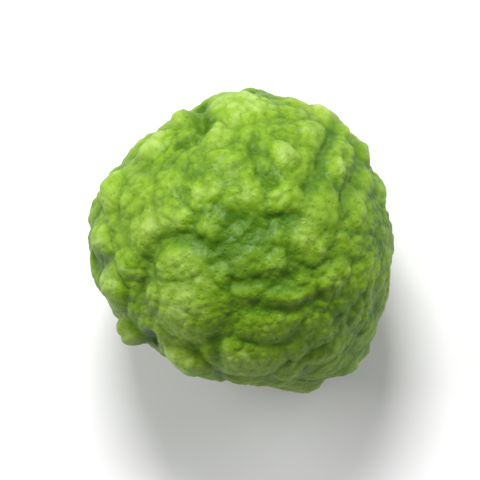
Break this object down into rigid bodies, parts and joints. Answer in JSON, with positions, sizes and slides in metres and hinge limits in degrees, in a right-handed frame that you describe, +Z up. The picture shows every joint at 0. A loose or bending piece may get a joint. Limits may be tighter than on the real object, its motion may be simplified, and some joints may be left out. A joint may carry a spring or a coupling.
{
  "type": "makrut lime fruit",
  "caption": "Knobbly green makrut lime as picked, with a short ribbed neck at the stem end, lying on a small flat spot.",
  "frame": {"origin": "centre of the bounding box in plan, at the level of the flat spot that the fruit lies on", "axes": "+Z up, away from the surface it lies on; seen from above, the blossom end points up and to the left (-X and +Y) and the stem end down and to the right (+X and -Y)"},
  "size_m": [0.0574, 0.0568, 0.0512],
  "materials": {
    "lime_skin": "waxy green citrus peel, knobbly, with fine oil pits"
  },
  "bodies": {
    "root": {"lime": "lime_skin"}
  },
  "joints": []
}
